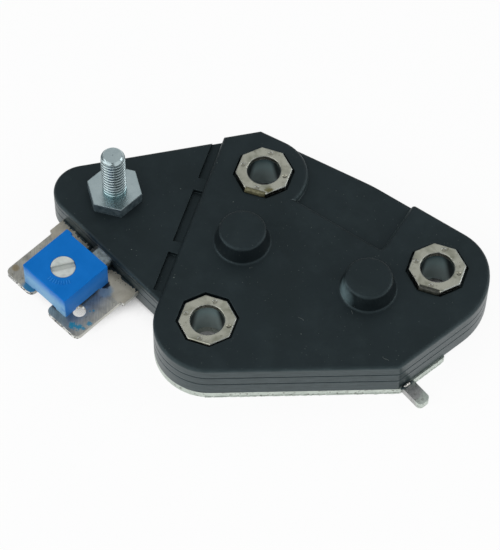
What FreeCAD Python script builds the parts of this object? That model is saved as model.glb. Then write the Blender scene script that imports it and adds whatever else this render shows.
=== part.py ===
import FreeCAD, Part
import math
import os

# Alternator voltage regulator with an adjusting trimmer, in millimetres, +Z up.
# The origin is on the axis of the earth bore, at the underside of the heat sink plate.
# X runs along the straight front wall. The case is three moulded layers on a metal plate.

Vec = FreeCAD.Vector

# Heights of the layers, from the bottom up
plate_t = 1.3
lower_h = 2.6
frame_h = 1.9
cover_h = 2.4
plateau_step = 1.2
z_lower = plate_t
z_frame = z_lower + lower_h
z_cover = z_frame + frame_h
z_top = z_cover + cover_h
z_wing = z_top - plateau_step

# Case walls and edges
wall = 1.4
floor_t = 1.0
roof_t = 1.2
top_edge_r = 0.7
wing_edge_r = 0.6
parting_chamfer = 0.12
overlap = 0.1

# The three mounting bores, through eyelet, case and plate
bore_r = 2.7
bore_rim = 8.3
pad_merge = 0.3
earth_bore = Vec(0, 0, 0)
battery_bore = Vec(9.6, 27.1, 0)
field_bore = Vec(36.1, 8.2, 0)

# Outline of the case seen from above: wall directions, and distances from the bores
front_reach = 9.2
front_right_x = 29.3
front_right_r = 1.2
right_slant = 38.0
side_flat = 0.1
far_angle = 10.3
far_corner_r = 0.5
battery_lobe_r = 7.1
battery_outer_reach = 7.35
outer_angle = -30.9
outer_bend_angle = -36.5
outer_bend_r = 25.0
recess_width = 10.1
field_pad_angle = 56.9
field_pad_reach = 9.3
recess_corner_r = 0.6

# Wing that carries the output stud
stud_axis = Vec(-14.25, 24.2, 0)
wing_wall_angle = 130.6
wing_reach = 7.9
wing_round_r = 4.9
wing_root_r = 0.8
slot_w = 1.65
slot_depth = 0.7
slot_low = (3.2, 10.6)
slot_mid = (12.7, 23.0)
slot_far = (25.3, 45.0)

# Blind round bosses over the two tallest parts inside
boss_far = Vec(5.8, 14.3, 0)
boss_near = Vec(25.1, 5.1, 0)
boss_h = 3.2
boss_base_r = 4.4
boss_top_r = 3.7
boss_edge_r = 0.6
boss_foot_r = 0.4
boss_bore_r = 2.6
boss_roof_t = 1.0

# Octagonal eyelets with one folded leg
eyelet_flats = 8.4
eyelet_t = 0.9
eyelet_turn = 69.5
eyelet_gap = 0.4
sleeve_t = 0.45
sleeve_gap = 0.03
eyelet_edge = 0.08
live_proud = 0.7
earth_proud = -0.15
leg_w = 2.9
leg_gap = 0.06
leg_bend_r = 0.5
dimple_r = 0.32
dimple_at = 3.5
dimple_depth = 0.12

# Output stud, one turned piece with a riveted inner end
stud_r = 1.95
stud_h = 9.0
stud_chamfer = 0.5
hex_flats = 7.9
hex_h = 2.1
hex_turn = 43.2
hex_edge = 0.15
shank_r = 2.0
rivet_r = 1.4
rivet_head_r = 2.1
rivet_head_h = 0.5
eye_r = 3.0

# Lead frame, clamped in the lower parting plane
lead_t = 0.8
lead_gap = 0.05
z_lead = z_frame - lead_t
bus_w = 2.4
tail_w = 1.5

# Trimmer and its two tabs
trimmer_at = Vec(-21.9, 10.1, 0)
trimmer_turn = 223.6
trimmer_side = 9.53
trimmer_h = 4.83
trimmer_foot_h = 0.35
trimmer_foot_w = 2.2
trimmer_edge_r = 0.25
trimmer_top_edge = 0.12
trimmer_step = 0.35
trimmer_rib_w = 1.15
trimmer_cavity_r = 3.7
rotor_shift = 0.55
rotor_r = 1.95
rotor_gap = 0.05
rotor_disc_gap = 0.7
rotor_disc_t = 0.7
rotor_slot_w = 0.9
rotor_slot_depth = 0.35
rotor_slot_turn = 14.0
lug_gap = 0.3
lug_root = 0.5
stop_half_angle = 12.0
stop_gap = 0.06
ring_wire_r = 0.42
ring_room = 0.045
wiper_r = 2.6
wiper_band = 1.4
wiper_t = 0.15
wiper_room = 0.6
wiper_pad_r = 0.4
element_t = 0.6
element_gap = 0.2
seal_t = 0.75
seal_gap = 0.03
pin_r = 0.25
pin_reach = 2.54
pin_below_tab = 0.8
pin_hole_r = 0.35
solder_r = 0.8
solder_h = 0.6
solder_gap = 0.01
far_tab_inner = 2.2
far_tab_outer = 8.25
far_tab_end = 5.7
far_tab_shoulder_at = -4.4
near_tab_inner = 1.6
near_tab_outer = 8.7
near_tab_end = 6.15
near_tab_shoulder_at = -3.3
tab_shoulder = 0.6
tab_root = -9.2
tab_corner_r = 1.0
tab_shoulder_r = 0.3
tab_hole_r = 1.05
tab_hole_at = (2.45, 5.4)
tongue_from = 0.2
tongue_to = -2.8
tongue_gap = 0.33
tongue_edge_r = 0.3
tongue_drop = 0.2

# Heat sink plate
plate_proud = 0.3
plate_end = 8.9
plate_end_in = 12.5
plate_far_reach = 22.0
plate_far_right = Vec(28.2, 16.6, 0)
plate_far_run = 6.0
plate_corner_r = 3.0
plate_tip_r = 0.3
finger_w = 2.3
finger_len = 4.1
finger_root = 3.0
finger_shift = 1.45
finger_r = 0.8

# Hybrid circuit; the substrate's outline is clear of the pads round the bores
substrate_t = 0.64
substrate_outline = [Vec(8.2, -6.4, 0), Vec(27.6, -6.4, 0), Vec(27.6, 10.6, 0), Vec(20.4, 17.0, 0),
                     Vec(0.6, 17.0, 0), Vec(0.6, 8.8, 0), Vec(8.2, 4.2, 0)]
substrate_gap = 0.25
transistor_size = (10.2, 8.7, 4.4)
transistor_tab = (1.6, 1.3)
transistor_at = Vec(9.4, -5.2, 0)
chip_size = (8.7, 3.9, 1.5)
chip_at = Vec(10.0, 8.0, 0)
zener_size = (4.6, 3.6, 2.3)
zener_at = Vec(20.6, 8.6, 0)
resistor_size = (3.2, 1.6, 0.6)
resistor_at = Vec(11.6, 13.6, 0)
resistor_pitch = 3.5
can_gap = 0.25
capacitor_edge_r = 0.4
diode_edge_r = 0.3
tall_gap = 0.25
component_edge = 0.15

z_substrate = plate_t + substrate_t


def polar(angle, length=1.0):
    a = math.radians(angle)
    return Vec(length * math.cos(a), length * math.sin(a), 0)


def line(normal_angle, through, distance=0.0):
    """A line in plan: its outward normal, and how far along that normal it lies."""
    n = polar(normal_angle)
    return n, n.dot(through) + distance


def meet(line_a, line_b):
    (na, da), (nb, db) = line_a, line_b
    det = na.x * nb.y - na.y * nb.x
    return Vec((da * nb.y - db * na.y) / det, (na.x * db - nb.x * da) / det, 0)


def rounded(corners):
    """A closed wire in plan from (point, radius) corners, each rounded by a tangent arc."""
    spans = []
    for i, (p, r) in enumerate(corners):
        to_prev = (corners[i - 1][0] - p).normalize()
        to_next = (corners[(i + 1) % len(corners)][0] - p).normalize()
        if r <= 0:
            spans.append((p, None, p))
            continue
        half = to_prev.getAngle(to_next) / 2
        bisector = (to_prev + to_next).normalize()
        reach = r / math.tan(half)
        centre = p + bisector * (r / math.sin(half))
        spans.append((p + to_prev * reach, centre - bisector * r, p + to_next * reach))
    edges = []
    for i, (start, mid, end) in enumerate(spans):
        if mid is not None:
            edges.append(Part.Arc(start, mid, end).toShape())
        following = spans[(i + 1) % len(spans)][0]
        if end.distanceToPoint(following) > 0.01:
            edges.append(Part.LineSegment(end, following).toShape())
    return Part.Wire(Part.__sortEdges__(edges))


def prism(wire, z0, z1):
    solid = Part.Face(wire).extrude(Vec(0, 0, z1 - z0))
    solid.translate(Vec(0, 0, z0))
    return solid


def cylinder(at, r, z0, z1):
    return Part.makeCylinder(r, z1 - z0, Vec(at.x, at.y, z0))


def block(at, size, z0):
    return Part.makeBox(size[0], size[1], size[2], Vec(at.x, at.y, z0))


def edges_at(shape, z, keep=lambda edge: True):
    """The edges of a shape that lie wholly at one height."""
    found = []
    for edge in shape.Edges:
        box = edge.BoundBox
        if abs(box.ZMin - z) < 1e-6 and abs(box.ZMax - z) < 1e-6 and keep(edge):
            found.append(edge)
    return found


def strip(points, width):
    """A flat strip of one width along a path in plan, with round ends."""
    shape = None
    for start, end in zip(points, points[1:]):
        along = (end - start).normalize()
        side = Vec(-along.y, along.x, 0) * (width / 2)
        wire = Part.makePolygon([start + side, end + side, end - side, start - side, start + side])
        piece = Part.Face(wire).fuse([Part.Face(Part.Wire(Part.makeCircle(width / 2, p))) for p in (start, end)])
        shape = piece if shape is None else shape.fuse(piece)
    return shape.removeSplitter()


def raise_faces(shape, z0, z1):
    solids = [face.extrude(Vec(0, 0, z1 - z0)) for face in shape.Faces]
    solid = solids[0] if len(solids) == 1 else solids[0].multiFuse(solids[1:]).removeSplitter()
    solid.translate(Vec(0, 0, z0))
    return solid


# The solid pads round the bores run into the walls, which stand off the bores by the rim
pad_r = bore_rim - wall + pad_merge

# Plan lines of the case, and the front left corner, which rounds the earth bore
front_left_r = (front_reach + bore_rim) / 2
side_angle = math.degrees(math.atan2(battery_bore.y - earth_bore.y, battery_bore.x - earth_bore.x))
front_line = line(-90, earth_bore, front_reach)
left_line = line(side_angle + 90, earth_bore, bore_rim)
far_line = line(far_angle + 90, battery_bore, bore_rim)
outer_line = line(outer_angle + 90, battery_bore, battery_outer_reach)
outer_bend_line = line(outer_bend_angle + 90, field_bore, bore_rim)
side_line = line(0, field_bore, bore_rim)
slant_line = line(right_slant - 90, Vec(front_right_x, -front_reach, 0))

# The side wall is short: the rim of the field bore and the right bend share it
side_top = meet(outer_bend_line, side_line).y - bore_rim * math.tan(math.radians(90 + outer_bend_angle) / 2)
side_foot = meet(side_line, slant_line).y
right_bend_r = (side_top - side_foot - side_flat) / math.tan(math.radians(90 - right_slant) / 2)
wing_line = line(wing_wall_angle + 90, stud_axis, wing_reach)


def case_wire(inset=0.0):
    """The whole case outline, or the same outline moved inwards."""
    def pulled(plan_line):
        return plan_line[0], plan_line[1] - inset

    front, left, far = pulled(front_line), pulled(left_line), pulled(far_line)
    outer, outer_bend, side = pulled(outer_line), pulled(outer_bend_line), pulled(side_line)
    slant, wing = pulled(slant_line), pulled(wing_line)
    return rounded([
        (meet(front, left), front_left_r - inset),
        (meet(left, wing), wing_root_r + inset),
        (meet(wing, far), wing_round_r - inset),
        (meet(far, outer), far_corner_r),
        (meet(outer, outer_bend), outer_bend_r - inset),
        (meet(outer_bend, side), bore_rim - inset),
        (meet(side, slant), right_bend_r - inset),
        (meet(slant, front), front_right_r),
    ])


def plateau_wire(inset=0.0):
    """The raised main top without the battery lobe, or the same outline moved inwards."""
    def pulled(plan_line):
        return plan_line[0], plan_line[1] - inset

    front, left, slant = pulled(front_line), pulled(left_line), pulled(slant_line)
    outer_bend, side = pulled(outer_bend_line), pulled(side_line)
    diagonal = pulled((outer_bend_line[0], outer_bend_line[1] - recess_width))
    pad_edge = pulled(line(field_pad_angle + 90, field_bore, field_pad_reach))
    lobe_chord = line(side_angle, battery_bore, 0.0)
    return rounded([
        (meet(front, left), front_left_r - inset),
        (meet(left, lobe_chord), 0.0),
        (meet(lobe_chord, diagonal), 0.0),
        (meet(diagonal, pad_edge), recess_corner_r + inset),
        (meet(pad_edge, outer_bend), far_corner_r),
        (meet(outer_bend, side), bore_rim - inset),
        (meet(side, slant), right_bend_r - inset),
        (meet(slant, front), front_right_r),
    ])


def lobe_wire():
    """The raised lobe round the battery bore, up to the straight far corner."""
    tangent = battery_bore + polar(outer_angle + 90, battery_lobe_r)
    lobe_edge = line(outer_angle + 90, battery_bore, battery_lobe_r)
    far_tip = meet(far_line, lobe_edge)
    far_left = meet(left_line, far_line)
    foot_left = meet(left_line, line(side_angle + 180, battery_bore, battery_lobe_r))
    foot = battery_bore + polar(side_angle + 180, battery_lobe_r)
    east = battery_bore + polar((side_angle + outer_angle - 90) / 2, battery_lobe_r)
    edges = [
        Part.LineSegment(far_left, far_tip).toShape(),
        Part.LineSegment(far_tip, tangent).toShape(),
        Part.Arc(tangent, east, foot).toShape(),
        Part.LineSegment(foot, foot_left).toShape(),
        Part.LineSegment(foot_left, far_left).toShape(),
    ]
    return Part.Wire(Part.__sortEdges__(edges))


def octagon(at, flats):
    corner_r = flats / 2 / math.cos(math.radians(22.5))
    points = [at + polar(eyelet_turn + 22.5 + 45 * i, corner_r) for i in range(9)]
    return Part.makePolygon(points)


bores = (earth_bore, battery_bore, field_bore)
sleeve_r = bore_r + sleeve_t
leg_way = polar(eyelet_turn + 180)
leg_side = polar(eyelet_turn + 90)


def leg_block(at, z0, z1, grow=0.0):
    """The upright leg of an eyelet, flush with one flat side of its octagon."""
    outer = at + leg_way * (eyelet_flats / 2 + grow)
    inner = at + leg_way * (eyelet_flats / 2 - eyelet_t - grow)
    half = leg_side * (leg_w / 2 + grow)
    return prism(Part.makePolygon([outer + half, inner + half, inner - half, outer - half, outer + half]), z0, z1)


def eyelet(at, z_under, leg_bottom):
    z_over = z_under + eyelet_t
    plate = prism(octagon(at, eyelet_flats), z_under, z_over)
    blank = plate.fuse(leg_block(at, leg_bottom, z_over)).removeSplitter()
    fold = [e for e in edges_at(blank, z_over) if (e.CenterOfMass - at).dot(leg_way) > eyelet_flats / 2 - 0.01]
    blank = blank.makeFillet(leg_bend_r, fold)
    blank = blank.cut(cylinder(at, bore_r, z_under - 1, z_over + 1))
    sides = [e for e in edges_at(blank, z_over) if (e.CenterOfMass - at).dot(leg_way) < eyelet_flats / 2 - leg_bend_r]
    blank = blank.makeChamfer(eyelet_edge, sides)
    dimples = [cylinder(at + polar(eyelet_turn + 90 * i, dimple_at), dimple_r, z_over - dimple_depth, z_over + 1)
               for i in range(3)]
    return blank.cut(dimples)


def boss(at):
    """A blind tapered boss with a rounded crown."""
    cone = Part.makeCone(boss_base_r, boss_top_r, boss_h, Vec(at.x, at.y, z_top))
    cone = cone.makeFillet(boss_edge_r, edges_at(cone, z_top + boss_h))
    return cone.fuse(cylinder(at, boss_base_r, z_top - roof_t / 2, z_top))


def inner_space(z0, z1):
    """What is hollow in a case layer: the outline moved in by the wall, less the pads round the bores."""
    hollow = prism(case_wire(wall), z0, z1)
    return hollow.cut([cylinder(at, pad_r, z0 - 1, z1 + 1) for at in bores])


# Lead frame paths in plan
leg_offset = leg_way * ((eyelet_flats - eyelet_t) / 2)
battery_foot = Vec(9.6, 16.0, 0)
field_foot = Vec(26.4, -2.6, 0)
tab_left_foot = Vec(2.0, 15.7, 0)
tab_right_foot = Vec(2.2, 10.2, 0)

tab_out = polar(trimmer_turn)
tab_up = polar(trimmer_turn - 90)


def at_trimmer(out, up):
    return trimmer_at + tab_out * out + tab_up * up


def bus(points, eye=None, grow=0.0):
    """A folded lead: a strip in the parting plane that ends in a foot on the substrate."""
    flat = raise_faces(strip(points, bus_w + 2 * grow), z_lead, z_frame)
    along = (points[-1] - points[-2]).normalize()
    side = Vec(-along.y, along.x, 0) * (bus_w / 2 + grow)
    tip = points[-1] + along * (bus_w / 2)
    square = Part.makePolygon([points[-1] + side, tip + side, tip - side, points[-1] - side, points[-1] + side])
    shape = flat.fuse(prism(square, z_lead, z_frame))
    if grow == 0.0:
        back = tip - along * lead_t
        heel = Part.makePolygon([back + side, tip + side, tip - side, back - side, back + side])
        shape = shape.fuse(prism(heel, z_substrate, z_lead))
    if eye is not None:
        shape = shape.fuse(cylinder(eye, eye_r + grow, z_lead, z_frame))
        shape = shape.cut(cylinder(eye, rivet_r + lead_gap, z_lead - 1, z_frame + 1))
    shape = shape.cut([cylinder(at, sleeve_r + sleeve_gap, z_lead - 1, z_frame + 1) for at in bores])
    return shape.removeSplitter()


battery_path = [stud_axis, battery_bore + leg_offset, battery_foot]
field_path = [field_bore + leg_offset, field_foot]


# The far tab is on the +1 side of the trimmer and the near one on the -1 side
tab_inner = {1: far_tab_inner, -1: near_tab_inner}
tab_outer = {1: far_tab_outer, -1: near_tab_outer}
tab_end = {1: far_tab_end, -1: near_tab_end}
tab_shoulder_at = {1: far_tab_shoulder_at, -1: near_tab_shoulder_at}


def tab_wire(side, grow=0.0):
    """Outline of one trimmer tab, or the same outline moved outwards."""
    inner = side * (tab_inner[side] - grow)
    outer = side * (tab_outer[side] + grow)
    shoulder = outer + side * tab_shoulder
    end = tab_end[side] + grow
    shoulder_at = tab_shoulder_at[side] + grow
    return rounded([
        (at_trimmer(tab_root, inner), 0.0),
        (at_trimmer(end, inner), tab_corner_r),
        (at_trimmer(end, outer), tab_corner_r),
        (at_trimmer(shoulder_at, outer), 0.0),
        (at_trimmer(shoulder_at, shoulder), tab_shoulder_r),
        (at_trimmer(tab_root, shoulder), 0.0),
    ])


def tab(side, foot_at, grow=0.0):
    shape = prism(tab_wire(side, grow), z_lead, z_frame)
    tail_from = at_trimmer(tab_root + tail_w / 2, side * (tab_outer[side] + tab_inner[side]) / 2)
    tail = raise_faces(strip([tail_from, foot_at], tail_w + 2 * grow), z_lead, z_frame)
    shape = shape.fuse(tail)
    if grow == 0.0:
        shape = shape.fuse(cylinder(foot_at, tail_w / 2, z_substrate, z_frame))
        hole = at_trimmer(tab_hole_at[0], side * tab_hole_at[1])
        shape = shape.cut(cylinder(hole, tab_hole_r, z_lead - 1, z_frame + 1))
        for pin in pin_places:
            if (pin - trimmer_at).dot(tab_up) * side > 0:
                shape = shape.cut(cylinder(pin, pin_hole_r, z_lead - 1, z_frame + 1))
    return shape.removeSplitter()


pin_places = [
    at_trimmer(-pin_reach / 2, pin_reach),
    at_trimmer(pin_reach, -pin_reach),
    at_trimmer(-pin_reach / 2, -pin_reach),
]


def box_part(at, size, z0, edge=component_edge):
    solid = block(at, size, z0)
    return solid.makeChamfer(edge, edges_at(solid, z0 + size[2]))


parts = {}

# Upper cover: the whole outline up to the wing, the raised plateau with its lobe, and the bosses
slab = prism(case_wire(), z_cover, z_wing)
slab = slab.makeFillet(wing_edge_r, edges_at(slab, z_wing))
plateau = prism(plateau_wire(), z_cover, z_top).fuse(prism(lobe_wire(), z_cover, z_top)).removeSplitter()
plateau = plateau.makeFillet(top_edge_r, edges_at(plateau, z_top))
cover = slab.fuse([plateau, boss(boss_far), boss(boss_near)]).removeSplitter()
boss_feet = edges_at(cover, z_top, lambda edge: abs(edge.Length - 2 * math.pi * boss_base_r) < 0.01)
cover = cover.makeFillet(boss_foot_r, boss_feet)
cover = cover.makeChamfer(parting_chamfer, edges_at(cover, z_cover))

slot_root = line(side_angle + 90, earth_bore, bore_rim)
for low, high in (slot_low, slot_mid, slot_far):
    along = polar(side_angle)
    near = slot_root[0] * slot_root[1]
    away = slot_root[0] * (slot_root[1] + slot_w)
    corners = [near + along * low, away + along * low, away + along * high, near + along * high]
    cover = cover.cut(prism(Part.makePolygon(corners + corners[:1]), z_wing - slot_depth, z_wing + 0.01))

z_pocket = z_top + earth_proud - eyelet_t
proud = {"battery": live_proud, "field": live_proud, "earth": earth_proud}
places = {"battery": battery_bore, "field": field_bore, "earth": earth_bore}
eyelet_under = {name: z_top + proud[name] - eyelet_t for name in places}
for name, at in places.items():
    cover = cover.cut(prism(octagon(at, eyelet_flats + 2 * eyelet_gap), z_pocket, z_top + 1))
    if eyelet_under[name] > z_pocket + 0.01:
        cover = cover.fuse(cylinder(at, sleeve_r, z_pocket - overlap, eyelet_under[name]))
    cover = cover.cut(leg_block(at, z_cover - 1, z_top + 1, leg_gap))
    cover = cover.fuse(cylinder(at, sleeve_r, z_lower, z_cover + overlap))
    cover = cover.cut(cylinder(at, bore_r, z_lower - 1, z_top + 1))

ceiling = prism(plateau_wire(wall), z_cover - 1, z_top - roof_t)
cover = cover.cut(ceiling.cut([cylinder(at, pad_r, z_cover - 2, z_top) for at in bores]))
for at in (boss_far, boss_near):
    cover = cover.cut(cylinder(at, boss_bore_r, z_cover - 1, z_top + boss_h - boss_roof_t))
cover = cover.cut(cylinder(stud_axis, shank_r + lead_gap, z_cover - 1, z_wing + 1))
parts["upper_cover"] = cover

# Middle frame: the band between the parting lines, with the tongue beside the trimmer
band = prism(case_wire(), z_frame, z_cover)
band = band.makeChamfer(parting_chamfer, edges_at(band, z_frame) + edges_at(band, z_cover))
band = band.cut(inner_space(z_frame - 1, z_cover + 1))
tongue = prism(rounded([
    (at_trimmer(tab_root, tongue_from), 0.0),
    (at_trimmer(-trimmer_side / 2 - tongue_gap, tongue_from), tongue_edge_r),
    (at_trimmer(-trimmer_side / 2 - tongue_gap, tongue_to), tongue_edge_r),
    (at_trimmer(tab_root, tongue_to), 0.0),
]), z_frame, z_cover - tongue_drop)
band = band.fuse(tongue.cut(inner_space(z_frame - 1, z_cover + 1))).removeSplitter()
for at in bores:
    sleeve_hole = cylinder(at, sleeve_r + sleeve_gap, z_frame - 1, z_cover + 1)
    band = band.cut([leg_block(at, z_frame - 1, z_cover + 1, leg_gap), sleeve_hole])
parts["middle_frame"] = band

def substrate_wire(grow):
    n = len(substrate_outline)
    lines = []
    for i, p in enumerate(substrate_outline):
        along = substrate_outline[(i + 1) % n] - p
        lines.append(line(math.degrees(math.atan2(along.y, along.x)) - 90, p, grow))
    corners = [meet(lines[i - 1], lines[i]) for i in range(n)]
    return Part.makePolygon(corners + corners[:1])


# Lower case: a tray with a window for the substrate and seats for the lead frame
tray = prism(case_wire(), z_lower, z_frame)
tray = tray.makeChamfer(parting_chamfer, edges_at(tray, z_frame))
tray = tray.cut(inner_space(z_lower + floor_t, z_frame + 1))
tray = tray.cut(prism(substrate_wire(substrate_gap), z_lower - 1, z_frame + 1))
for at in bores:
    tray = tray.cut(cylinder(at, sleeve_r + sleeve_gap, z_lower - 1, z_frame + 1))
tray = tray.cut(leg_block(earth_bore, z_lower - 1, z_frame + 1, leg_gap))
tray = tray.cut([
    bus(battery_path, None, lead_gap),
    bus(field_path, None, lead_gap),
    tab(1, tab_left_foot, lead_gap),
    tab(-1, tab_right_foot, lead_gap),
])
parts["lower_case"] = tray

# Heat sink plate under the main body, with its finger at the front right corner
slant_way = polar(right_slant)
slant_out = polar(right_slant - 90)
corner = Vec(front_right_x, -front_reach, 0)
plate_slant = (slant_line[0], slant_line[1] + plate_proud)
plate_corner = meet(plate_slant, front_line)
plate_tip = plate_corner + slant_way * (plate_end + plate_proud)
plate_wire = rounded([
    (meet(front_line, left_line), front_left_r),
    (meet(left_line, line(90, earth_bore, plate_far_reach)), plate_corner_r),
    (Vec(plate_far_right.x - plate_far_run, plate_far_reach, 0), plate_corner_r),
    (plate_far_right, plate_corner_r),
    (plate_tip - slant_out * plate_end_in, plate_corner_r),
    (plate_tip, plate_tip_r),
    (plate_corner, 0.0),
])
plate = prism(plate_wire, 0, plate_t)
finger_axis = plate_corner + slant_way * finger_shift
half_finger = slant_way * (finger_w / 2)
finger = prism(rounded([
    (finger_axis - slant_out * finger_root - half_finger, 0.0),
    (finger_axis + slant_out * finger_len - half_finger, finger_r),
    (finger_axis + slant_out * finger_len + half_finger, finger_r),
    (finger_axis - slant_out * finger_root + half_finger, 0.0),
]), 0, plate_t)
plate = plate.fuse(finger).removeSplitter()
plate = plate.cut(cylinder(earth_bore, bore_r, -1, plate_t + 1))
parts["heat_sink_plate"] = plate

# Eyelets
for name, at in places.items():
    bottom = plate_t if name == "earth" else z_frame
    parts[name + "_eyelet"] = eyelet(at, eyelet_under[name], bottom)

# Output stud
z_collar = z_wing + hex_h
hexagon = Part.makePolygon([stud_axis + polar(hex_turn + 60 * i, hex_flats / 2 / math.cos(math.radians(30)))
                            for i in range(7)])
collar = prism(hexagon, z_wing, z_collar)
collar = collar.makeChamfer(hex_edge, edges_at(collar, z_collar))
thread = cylinder(stud_axis, stud_r, z_collar, z_collar + stud_h)
thread = thread.makeChamfer(stud_chamfer, edges_at(thread, z_collar + stud_h))
stud = collar.fuse([
    thread,
    cylinder(stud_axis, shank_r, z_frame, z_wing),
    cylinder(stud_axis, rivet_r, z_lead, z_frame),
    cylinder(stud_axis, rivet_head_r, z_lead - rivet_head_h, z_lead),
]).removeSplitter()
parts["output_stud"] = stud

# Lead frame
parts["battery_bus"] = bus(battery_path, stud_axis)
parts["field_bus"] = bus(field_path)
parts["trimmer_tab_left"] = tab(1, tab_left_foot)
parts["trimmer_tab_right"] = tab(-1, tab_right_foot)

# Trimmer
z_trimmer = z_frame + trimmer_h
z_body = z_frame + trimmer_foot_h
rotor_axis = at_trimmer(rotor_shift, 0)
half = trimmer_side / 2


def trimmer_square(reach, r):
    return rounded([(at_trimmer(reach * a, reach * b), r) for a, b in ((1, 1), (-1, 1), (-1, -1), (1, -1))])


def ring_sector(r0, r1, middle, half_angle, z0, z1):
    """A sector of a ring round the rotor axis, for the lug and the stop."""
    points = [rotor_axis + polar(a, r) for a, r in (
        (middle - half_angle, r0), (middle - half_angle, r1), (middle, r1), (middle + half_angle, r1),
        (middle + half_angle, r0), (middle, r0))]
    edges = [
        Part.LineSegment(points[0], points[1]).toShape(),
        Part.Arc(points[1], points[2], points[3]).toShape(),
        Part.LineSegment(points[3], points[4]).toShape(),
        Part.Arc(points[4], points[5], points[0]).toShape(),
    ]
    return prism(Part.Wire(Part.__sortEdges__(edges)), z0, z1)


z_seal_top = z_body + seal_t
z_element_top = z_seal_top + element_t
z_disc = z_element_top + wiper_room
z_disc_top = z_disc + rotor_disc_t
z_roof = z_disc_top + 2 * (ring_wire_r + ring_room)
rotor_disc_r = trimmer_cavity_r - rotor_disc_gap
lug_r = trimmer_cavity_r - lug_gap
housing = prism(trimmer_square(half, trimmer_edge_r), z_body, z_trimmer)
housing = housing.makeChamfer(trimmer_top_edge, edges_at(housing, z_trimmer))
for a, b in ((1, 1), (-1, 1), (-1, -1), (1, -1)):
    near_u = a * (half - trimmer_foot_w)
    near_v = b * (half - trimmer_foot_w)
    foot = prism(rounded([
        (at_trimmer(a * half, b * half), trimmer_edge_r),
        (at_trimmer(near_u, b * half), 0.0),
        (at_trimmer(near_u, near_v), 0.0),
        (at_trimmer(a * half, near_v), 0.0),
    ]), z_frame, z_body)
    housing = housing.fuse(foot)
rib_side = half - trimmer_rib_w
step = [at_trimmer(a, b) for a, b in (
    (-half - overlap, rib_side), (-half + trimmer_step, rib_side),
    (-half + trimmer_step, -half - overlap), (-half - overlap, -half - overlap))]
housing = housing.cut(prism(Part.makePolygon(step + step[:1]), z_frame, z_trimmer))
cavity = cylinder(rotor_axis, trimmer_cavity_r, z_body - trimmer_foot_h, z_roof)
stop = ring_sector(rotor_disc_r + stop_gap, trimmer_cavity_r + overlap, trimmer_turn + 180, stop_half_angle,
                   z_disc, z_roof)
housing = housing.cut(cavity).fuse(stop).removeSplitter()
housing = housing.cut(cylinder(rotor_axis, rotor_r + rotor_gap, z_roof - 1, z_trimmer + 1))
housing = housing.cut([cylinder(p, pin_r + seal_gap, z_frame - 1, z_seal_top) for p in pin_places])
parts["trimmer_housing"] = housing

rotor = cylinder(rotor_axis, rotor_r, z_disc, z_trimmer)
rotor = rotor.fuse([
    cylinder(rotor_axis, rotor_disc_r, z_disc, z_disc_top),
    ring_sector(rotor_disc_r - lug_root, lug_r, trimmer_turn, stop_half_angle, z_disc, z_disc_top),
]).removeSplitter()
slot_way = polar(rotor_slot_turn, rotor_r)
slot_shape = strip([rotor_axis - slot_way, rotor_axis + slot_way], rotor_slot_w)
rotor = rotor.cut(raise_faces(slot_shape, z_trimmer - rotor_slot_depth, z_trimmer + 1))
parts["trimmer_rotor"] = rotor

z_ring = (z_roof + z_disc_top) / 2
parts["trimmer_o_ring"] = Part.makeTorus(rotor_r + rotor_gap + ring_wire_r, ring_wire_r,
                                         Vec(rotor_axis.x, rotor_axis.y, z_ring))

wiper = cylinder(rotor_axis, wiper_r, z_disc - wiper_t, z_disc)
wiper = wiper.cut(cylinder(rotor_axis, wiper_r - wiper_band, z_disc - 1, z_disc + 1))
pad_at = rotor_axis + polar(trimmer_turn, wiper_r - wiper_band / 2)
wiper = wiper.fuse(cylinder(pad_at, wiper_pad_r, z_element_top + rotor_gap, z_disc - wiper_t / 2)).removeSplitter()
parts["trimmer_wiper"] = wiper
parts["trimmer_element"] = cylinder(rotor_axis, trimmer_cavity_r - element_gap, z_seal_top, z_element_top)
seal = cylinder(rotor_axis, trimmer_cavity_r - seal_gap, z_body, z_seal_top)
parts["trimmer_base_seal"] = seal.cut([cylinder(p, pin_r + seal_gap, z_body - 1, z_seal_top + 1) for p in pin_places])

for number, place in enumerate(pin_places, 1):
    parts["trimmer_pin_%d" % number] = cylinder(place, pin_r, z_lead - pin_below_tab, z_seal_top)
    bead = Part.makeCone(pin_hole_r, solder_r, solder_h, Vec(place.x, place.y, z_lead - solder_h))
    parts["pin_solder_%d" % number] = bead.cut(cylinder(place, pin_r + solder_gap, z_lead - 1, z_lead + 1))

# Hybrid circuit
parts["hybrid_substrate"] = prism(substrate_wire(0.0), plate_t, z_substrate)
body = box_part(transistor_at, transistor_size, z_substrate)
tab_plate = block(transistor_at + Vec(0, transistor_size[1], 0),
                  (transistor_size[0], transistor_tab[0], transistor_tab[1]), z_substrate)
parts["power_transistor"] = body.fuse(tab_plate).removeSplitter()
parts["driver_chip"] = box_part(chip_at, chip_size, z_substrate)
parts["zener_diode"] = box_part(zener_at, zener_size, z_substrate)
for i in range(3):
    spot = resistor_at + Vec(resistor_pitch * i, 0, 0)
    parts["sense_resistor_%d" % (i + 1)] = box_part(spot, resistor_size, z_substrate)
z_tall = z_top + boss_h - boss_roof_t - tall_gap
can = cylinder(boss_far, boss_bore_r - can_gap, z_substrate, z_tall)
parts["filter_capacitor"] = can.makeFillet(capacitor_edge_r, edges_at(can, z_tall))
diode = cylinder(boss_near, boss_bore_r - can_gap, z_substrate, z_tall)
parts["freewheel_diode"] = diode.makeFillet(diode_edge_r, edges_at(diode, z_tall))

os.makedirs("parts", exist_ok=True)
for name, shape in parts.items():
    solids = shape.Solids
    print("%-22s solids %d valid %s volume %.2f faces %d" % (
        name, len(solids), shape.isValid(), shape.Volume, len(shape.Faces)))
    out = solids[0] if len(solids) == 1 else Part.makeCompound(solids)
    out.exportStep("parts/%s.step" % name)
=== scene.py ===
import math

import bmesh
import bpy
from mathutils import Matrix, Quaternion, Vector, noise


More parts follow.
